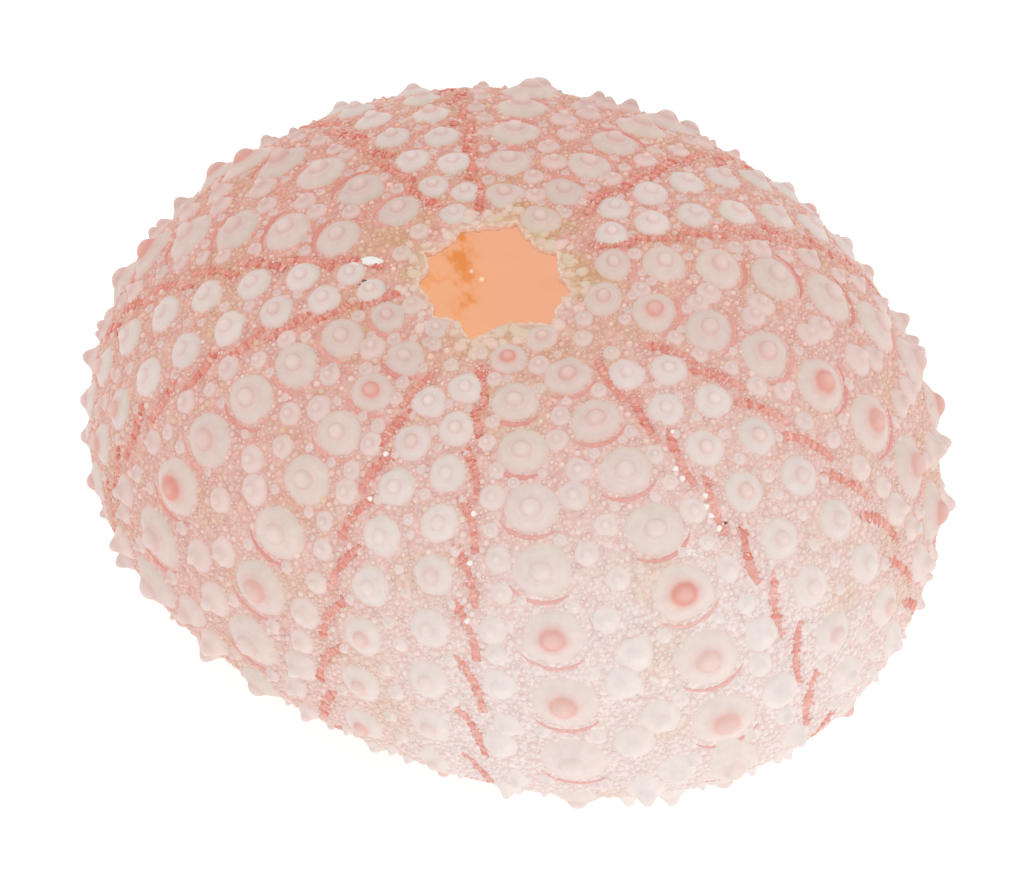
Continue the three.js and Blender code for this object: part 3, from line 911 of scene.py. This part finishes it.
def build_streak():
    """The streak, patch and specks on the inside wall, on a thin film that lies on it."""
    west, east, top, bottom = STREAK_FIELD
    colatitude, azimuth = np.meshgrid(
        np.linspace(top, bottom, STREAK_CELLS), np.linspace(west, east, STREAK_CELLS), indexing="ij")
    points = raised(azimuth, colatitude, np.full(azimuth.shape, -WALL - STREAK_FILM))
    knots = np.linspace(0, 1, len(STREAK))
    line = np.array([np.interp(np.linspace(0, 1, STREAK_STEPS), knots, field) for field in STREAK.T])
    line_places = raised(line[0], line[1], np.full(STREAK_STEPS, -WALL))
    ragged = 0.2 * drift(points, 0.26) + 0.1 * drift(points, 0.11, 1)
    reach = gap_to(points, line_places, line[2])
    patch_place = raised(PATCH[:1], PATCH[1:2], np.array([-WALL]))
    near_patch = gap_to(points, patch_place, PATCH[2])
    colours = inside_colours(points)
    for gap, (share, start, over) in ((reach, STREAK_HALO), (reach, STREAK_CORE), (near_patch, PATCH_BROWN)):
        colours = tint(colours, STREAK_BROWN, share * np.clip(start - (gap + ragged) / over, 0, 1))
    speck_places = raised(INNER_SPECKS[:, 0], INNER_SPECKS[:, 1], np.full(2, -WALL))
    near_speck = gap_to(points, speck_places, INNER_SPECKS[:, 2])
    colours = tint(colours, CHALK, np.clip(0.5 - near_speck / 0.06, 0, 1))
    row, column = np.meshgrid(np.arange(STREAK_CELLS - 1), np.arange(STREAK_CELLS - 1), indexing="ij")
    a = row * STREAK_CELLS + column
    faces = np.stack([a, a + 1, a + STREAK_CELLS + 1, a + STREAK_CELLS], -1).reshape(-1, 4)
    make_piece("inner_streak", points, faces, colours, [INSIDE_LOOK])


def redness_of(places):
    """How red each large tubercle's top is: as noted, or else by chance, and more often low down."""
    low = (LARGE_COLATITUDE > RED_LOW_FROM) & (rng.uniform(0, 1, len(places)) < RED_LOW_PART)
    strong = rng.uniform(*RED_LOW_RANGE, len(places))
    faint = np.clip(rng.normal(0, 0.1, len(places)), 0, 0.3)
    red = np.where(low, strong, faint)
    noted = shell_point(REDDISH[:, 0], REDDISH[:, 1])
    nearest = np.linalg.norm(places[:, None] - noted, axis=-1).argmin(0)
    red[nearest] = REDDISH[:, 2]
    return red


def build_primaries():
    red = redness_of(LARGE_PLACES)
    for name, chosen, look, stretch in (
        ("primary_broad", LARGE_IS_BROAD, BROAD_KNOB, BROAD_STRETCH),
        ("primary_narrow", ~LARGE_IS_BROAD, NARROW_KNOB, 1),
    ):
        count = chosen.sum()
        radius = LARGE_RADIUS[chosen]
        points, faces = lumps(
            LARGE_AZIMUTH[chosen], LARGE_COLATITUDE[chosen], radius * stretch, radius / stretch, radius,
            np.zeros(count), PRIMARY_PROFILE, PRIMARY_SEGMENTS, wobble=0.028)
        rings = knob_colours(PRIMARY_PROFILE, look)
        colours = ring_colours(count, rings, PRIMARY_SEGMENTS) * rng.normal(1, 0.008, (count, 1, 1))
        reds = ring_colours(1, RED_RINGS[:, None], PRIMARY_SEGMENTS)[..., 0]
        # Painted shade: the north side of each large tubercle's outer rings is tinted sage, as shade falls
        # there.
        shade_share = ring_colours(1, SHADE_RINGS[:, None], PRIMARY_SEGMENTS)[..., 0]
        facing_up = np.clip(np.sin(2 * np.pi * np.arange(PRIMARY_SEGMENTS) / PRIMARY_SEGMENTS), 0, 1)
        shade_share[:, :-1] *= np.tile(facing_up, len(PRIMARY_PROFILE) - 1)
        colours = tint(colours, SAGE_SHADE, shade_share * rng.uniform(0.2, 1, (count, 1)))
        colours = glared_and_stained(colours, points, "large", PALE_TUBERCLE)
        make_piece(name, points, faces, tint(colours, RED_TOP, red[chosen][:, None] * reds), [TUBERCLE_LOOK])


def build_secondaries():
    count = len(SMALL_AZIMUTH)
    tall = SMALL_RADIUS * (1 + LOW_RISE * lowness(SMALL_COLATITUDE))
    points, faces = lumps(
        SMALL_AZIMUTH, SMALL_COLATITUDE, SMALL_RADIUS, SMALL_RADIUS, tall, np.zeros(count),
        SECONDARY_PROFILE, SECONDARY_SEGMENTS, wobble=0.03)
    rings = knob_colours(SECONDARY_PROFILE, SMALL_KNOB)
    colours = ring_colours(count, rings, SECONDARY_SEGMENTS) * rng.normal(1, 0.01, (count, 1, 1))
    by_hole = colours[:len(RIM_KNOBS)]
    colours[:len(RIM_KNOBS)] = tint(by_hole, CREAM, 0.4 + 0 * by_hole[..., 0])
    colours = glared_and_stained(colours, points, "small", PALE_TUBERCLE)
    make_piece("secondary_tubercles", points, faces, colours, [TUBERCLE_LOOK])


def build_crescents():
    count = len(CRESCENT_AZIMUTH)
    taper = np.sin(np.linspace(0.15, np.pi - 0.15, CRESCENT_STATIONS)) ** 0.8
    width = CRESCENT_HALF_WIDTH * taper * rng.uniform(0.75, 1.25, CRESCENT_AZIMUTH.shape)
    points, faces = ribbons(CRESCENT_AZIMUTH, CRESCENT_COLATITUDE, width)
    # Painted shadow: the coral crescents lie on the lower side of each bare ring, where shade falls.
    colours = tint(
        plain(CRESCENT_SHADOW, *points.shape[:-1]), CORAL_LIGHT,
        rng.uniform(0, 0.7, (count, 1, 1)) + 0 * points[..., 0])
    make_piece("crescents", points, faces, glared_and_stained(colours, points, "crescent"), [CORAL_LOOK])


def build_pore_bands():
    width = PORE_HALF_WIDTH * (ARC_HEIGHT / PORE_PLATE) * rng.uniform(0.35, 1.25, ARC_AZIMUTH.shape)
    points, faces = ribbons(ARC_AZIMUTH, ARC_COLATITUDE, width)
    colours = tint(
        plain(CORAL, *points.shape[:-1]), CORAL_LIGHT,
        rng.uniform(0, 0.8, ARC_AZIMUTH.shape)[..., None] + 0 * points[..., 0])
    make_piece("pore_bands", points, faces, glared_and_stained(colours, points, "band"), [CORAL_LOOK])


def build_pore_marks():
    """Short coral bars across the pore arcs."""
    share = (np.arange(PORE_MARKS) + 0.5) / PORE_MARKS * (PORE_STATIONS - 1)
    before = np.floor(share).astype(int)
    part = share - before

    def along(field):
        return (field[:, before] * (1 - part) + field[:, before + 1] * part).ravel()

    east_axis, north_axis, _ = shell_axes(ARC_AZIMUTH, ARC_COLATITUDE)
    run = unit(np.gradient(shell_point(ARC_AZIMUTH, ARC_COLATITUDE), axis=1))
    azimuth, colatitude, height = along(ARC_AZIMUTH), along(ARC_COLATITUDE), along(ARC_HEIGHT)
    bearing = np.arctan2(along((run * north_axis).sum(-1)), along((run * east_axis).sum(-1)))
    count = len(azimuth)
    long = MARK_LENGTH * height * rng.uniform(0.55, 1.25, count)
    wide = MARK_WIDTH * height * rng.uniform(0.8, 1.3, count)
    points, faces = lumps(
        azimuth, colatitude, long, wide, rng.uniform(*MARK_HEIGHTS, count),
        bearing + np.pi / 2 + rng.normal(0, 0.3, count), MARK_PROFILE, MARK_SEGMENTS, wobble=0.12)
    own = tint(plain(CORAL, count), CORAL_LIGHT, rng.uniform(-0.6, 1.1, count))
    colours = own[:, None] + 0 * points
    make_piece("pore_marks", points, faces, glared_and_stained(colours, points, "pore"), [CORAL_LOOK])


def build_pore_grains():
    """Coral and pale granules strewn along the pore arcs."""
    arcs = len(ARC_AZIMUTH)
    station = rng.uniform(0, PORE_STATIONS - 1, (arcs, ARC_GRAINS))
    before = np.minimum(np.floor(station).astype(int), PORE_STATIONS - 2)
    part = station - before
    row = np.arange(arcs)[:, None]
    azimuth = (ARC_AZIMUTH[row, before] * (1 - part) + ARC_AZIMUTH[row, before + 1] * part).ravel()
    colatitude = (ARC_COLATITUDE[row, before] * (1 - part) + ARC_COLATITUDE[row, before + 1] * part).ravel()
    scatter = ARC_SCATTER * ARC_HEIGHT[row, before].ravel()
    count = len(azimuth)
    away = rng.normal(0, 1, (2, count)) * scatter
    at = moved(azimuth, colatitude, *away)
    large = count // LARGE_ARC_GRAIN_PART
    size = rng.uniform(*ARC_GRAIN_RADII, count)
    size[:large] = rng.uniform(*LARGE_ARC_GRAIN_RADII, large)
    size = size[rng.permutation(count)]
    points, faces = lumps(*at, size, size, size, np.zeros(count), PORE_GRAIN_PROFILE, FINE_SEGMENTS)
    core = np.clip(1 - np.hypot(*away) / scatter / 2, 0, 1)
    base = tint(plain(CORAL_LIGHT, count), CORAL, core * rng.uniform(0, 1.3, count))
    base = tint(base, PALE, (rng.uniform(0, 1, count) < 0.16) * rng.uniform(0.3, 0.9, count))
    colours = glared_and_stained(base[:, None] + 0 * points, points, "pore")
    make_piece("pore_grains", points, faces, colours, [CORAL_LOOK])


def spaced(places, radii, order):
    """The first of the places that keep clear of those taken before them."""
    filled = {}
    chosen = []
    keys = np.floor(places / GRAIN_CELL).astype(int).tolist()
    places, radii = places.tolist(), radii.tolist()
    nearby = [(i, j, k) for i in (-1, 0, 1) for j in (-1, 0, 1) for k in (-1, 0, 1)]
    for index in order.tolist():
        (a, b, c), (x, y, z), size = keys[index], places[index], radii[index]
        near = [other for i, j, k in nearby for other in filled.get((a + i, b + j, c + k), ())]
        if all(
            (x - u) ** 2 + (y - v) ** 2 + (z - w) ** 2 >= (GRAIN_SPACING * (size + other)) ** 2
            for u, v, w, other in near
        ):
            filled.setdefault((a, b, c), []).append((x, y, z, size))
            chosen.append(index)
    return np.array(chosen)


def scatter_grains():
    """Grains on what the tubercles, crescents and pores leave free: azimuth, colatitude and radius."""
    azimuth = rng.uniform(0, 360, GRAIN_TRIES)
    colatitude = rng.uniform(5, MOUTH_COLATITUDE, GRAIN_TRIES)
    along, down = slopes(azimuth, colatitude)
    area = np.linalg.norm(np.cross(along, down), axis=-1)
    inside = on_shell(azimuth, colatitude, 1)
    kept = inside & (rng.uniform(0, 1, GRAIN_TRIES) < area / area[inside].max())
    azimuth, colatitude = azimuth[kept], colatitude[kept]
    places = shell_point(azimuth, colatitude)
    coarse = rng.uniform(0, 1, len(places)) < COARSE_SHARE
    radius = np.where(coarse, rng.uniform(*COARSE_RADII, len(places)), rng.uniform(*FINE_RADII, len(places)))
    uneven = rng.uniform(-0.4, 0.8, len(places))
    clear = gap_to(places, LARGE_PLACES, LARGE_RADIUS * KEPT_OF_LARGE) > uneven * radius
    clear &= gap_to(places, SMALL_PLACES, SMALL_RADIUS * KEPT_OF_SMALL) > 0.3 * radius
    clear &= gap_to(places, ARC_PLACES, PORE_CLEARANCE) > 0.5 * radius
    clear &= gap_to(places, CRESCENT_PLACES, CRESCENT_CLEARANCE) > 0.7 * radius
    order = np.flatnonzero(clear)
    order = order[np.argsort(~coarse[order], kind="stable")]
    chosen = spaced(places, radius, order)
    return azimuth[chosen], colatitude[chosen], radius[chosen], places[chosen], coarse[chosen]


def grain_colours(points, places, segments):
    """Pale, gold and coral grains, each as dark as the ground at its foot."""
    count = len(points)
    base = tint(plain(GROUND, count), GRAIN, rng.uniform(0.1, 1.0, count))
    gold = (rng.uniform(0, 1, count) < GRAIN_GOLD_PART) * rng.uniform(0.1, 0.7, count)
    coral = (rng.uniform(0, 1, count) < GRAIN_CORAL_PART) * rng.uniform(0.1, 0.6, count)
    base = tint(tint(base, GRAIN_GOLD, gold), CORAL, coral)
    base = base * rng.normal(1, 0.025, (count, 1))
    colours = np.repeat(base[:, None], points.shape[1], axis=1)
    colours[:, :segments] = tint(colours[:, :segments], GROUND, np.full((count, segments), 0.45))
    return glared_and_stained(colours, places[:, None] + 0 * points, "grain")


def build_grains():
    azimuth, colatitude, radius, places, coarse = scatter_grains()
    upper = places[:, 2] > UPPER_LEVEL
    for name, chosen, profile, segments in (
        ("grains_coarse", np.flatnonzero(coarse), GRAIN_PROFILE, COARSE_SEGMENTS),
        ("grains_upper", np.flatnonzero(~coarse & upper), FINE_PROFILE, FINE_SEGMENTS),
        ("grains_lower", np.flatnonzero(~coarse & ~upper), FINE_PROFILE, FINE_SEGMENTS),
    ):
        size = radius[chosen]
        points, faces = lumps(
            azimuth[chosen], colatitude[chosen], size, size, size, rng.uniform(0, 6, len(chosen)),
            profile, segments)
        make_piece(name, points, faces, grain_colours(points, places[chosen], segments), [GRAIN_LOOK])


def build_rim_lumps():
    """Cream lumps of many sizes along the edge of the hole."""
    azimuth = rng.uniform(0, 360, RIM_LUMPS)
    size = rng.uniform(*RIM_LUMP_RADII, RIM_LUMPS)
    away = size + rng.uniform(0.02, 1.1, RIM_LUMPS) ** 1.5
    colatitude = colatitude_below(hole_colatitude(azimuth), away)
    clear = gap_to(shell_point(azimuth, colatitude), LARGE_PLACES, LARGE_RADIUS * 0.8) > 0.5 * size
    azimuth, colatitude, size = azimuth[clear], colatitude[clear], size[clear]
    count = len(size)
    points, faces = lumps(
        azimuth, colatitude, size * 1.2, size, size * 0.5, rng.uniform(0, 6, count),
        GRAIN_PROFILE, RIM_LUMP_SEGMENTS, wobble=0.06)
    base = tint(plain(CREAM, count), GRAIN, rng.uniform(0, 1, count))
    colours = np.repeat(base[:, None], points.shape[1], axis=1)
    foot = colours[:, :RIM_LUMP_SEGMENTS]
    colours[:, :RIM_LUMP_SEGMENTS] = tint(foot, GROUND, np.full(foot.shape[:2], 0.3))
    make_piece("rim_lumps", points, faces, glared_and_stained(colours, points, "rim"), [GRAIN_LOOK])


def build_oddities():
    """White grains, chips, specks and fine scratches, each where it is noted."""
    rows = [(a, c, 0.24, 0.22, 0.26, 0, CHALK) for a, c in WHITE_GRAINS]
    rows += CHIPS
    rows += [(a, c, 0.75, 0.045, 0.05, turn, CHALK) for a, c, turn in SCRATCHES]
    azimuth, colatitude, long, wide, tall, turn = np.array([row[:6] for row in rows], float).T
    points, faces = lumps(
        azimuth, colatitude, long, wide, tall, np.radians(turn), GRAIN_PROFILE, SINGLE_SEGMENTS, wobble=0.07)
    colours = np.array([row[6] for row in rows], float)[:, None] + 0 * points
    make_piece("single_marks", points, faces, colours, [GRAIN_LOOK])


build_skin()
build_streak()
build_primaries()
build_secondaries()
build_crescents()
build_pore_bands()
build_pore_marks()
build_pore_grains()
build_grains()
build_rim_lumps()
build_oddities()


# Stage, light and camera

def build_floor():
    mesh = bpy.data.meshes.new("floor")
    half = FLOOR_HALF
    corners = [(-half, -half, 0), (half, -half, 0), (half, half, 0), (-half, half, 0)]
    mesh.from_pydata(corners, [], [(0, 1, 2, 3)])
    floor = bpy.data.objects.new("floor", mesh)
    bpy.context.scene.collection.objects.link(floor)
    paint = bpy.data.materials.new("floor")
    paint.use_nodes = True
    shader = paint.node_tree.nodes["Principled BSDF"]
    shader.inputs["Base Color"].default_value = (FLOOR_SHADE, FLOOR_SHADE, FLOOR_SHADE, 1)
    shader.inputs["Roughness"].default_value = 0.9
    shader.inputs["Emission Color"].default_value = (1, 1, 1, 1)
    shader.inputs["Emission Strength"].default_value = FLOOR_GLOW
    mesh.materials.append(paint)


def build_light():
    world = bpy.data.worlds.new("studio")
    bpy.context.scene.world = world
    world.use_nodes = True
    sky = world.node_tree.nodes["Background"]
    sky.inputs["Color"].default_value = (1, 1, 1, 1)
    sky.inputs["Strength"].default_value = SKY_STRENGTH
    for name, place, size, power in LAMPS:
        lamp = bpy.data.lights.new(name, "AREA")
        lamp.size = size
        lamp.energy = power
        light = bpy.data.objects.new(name, lamp)
        light.location = place
        light.rotation_euler = (Vector(LAMPS_AIM) - Vector(place)).to_track_quat("-Z", "Y").to_euler()
        bpy.context.scene.collection.objects.link(light)


def build_camera():
    elevation, roll = math.radians(CAMERA_ELEVATION), math.radians(CAMERA_ROLL)
    level = Vector((1, 0, 0))
    upright = Vector((0, math.sin(elevation), math.cos(elevation)))
    back = Vector((0, -math.cos(elevation), math.sin(elevation)))
    right = level * math.cos(roll) - upright * math.sin(roll)
    up = level * math.sin(roll) + upright * math.cos(roll)
    middle = Vector((*AXIS, -REST_LEVEL)) + right * CAMERA_MOVE[0] + up * CAMERA_MOVE[1]
    turned = Matrix((right, up, back)).transposed().to_4x4()
    data = bpy.data.cameras.new("camera")
    data.lens = CAMERA_LENS
    data.sensor_width = 36
    data.clip_start = 0.05
    data.clip_end = 10
    camera = bpy.data.objects.new("camera", data)
    camera.matrix_world = Matrix.Translation((middle + back * CAMERA_DISTANCE) * METRES) @ turned
    bpy.context.scene.collection.objects.link(camera)
    bpy.context.scene.camera = camera


build_floor()
build_light()
build_camera()
bpy.context.scene.view_settings.view_transform = "Standard"
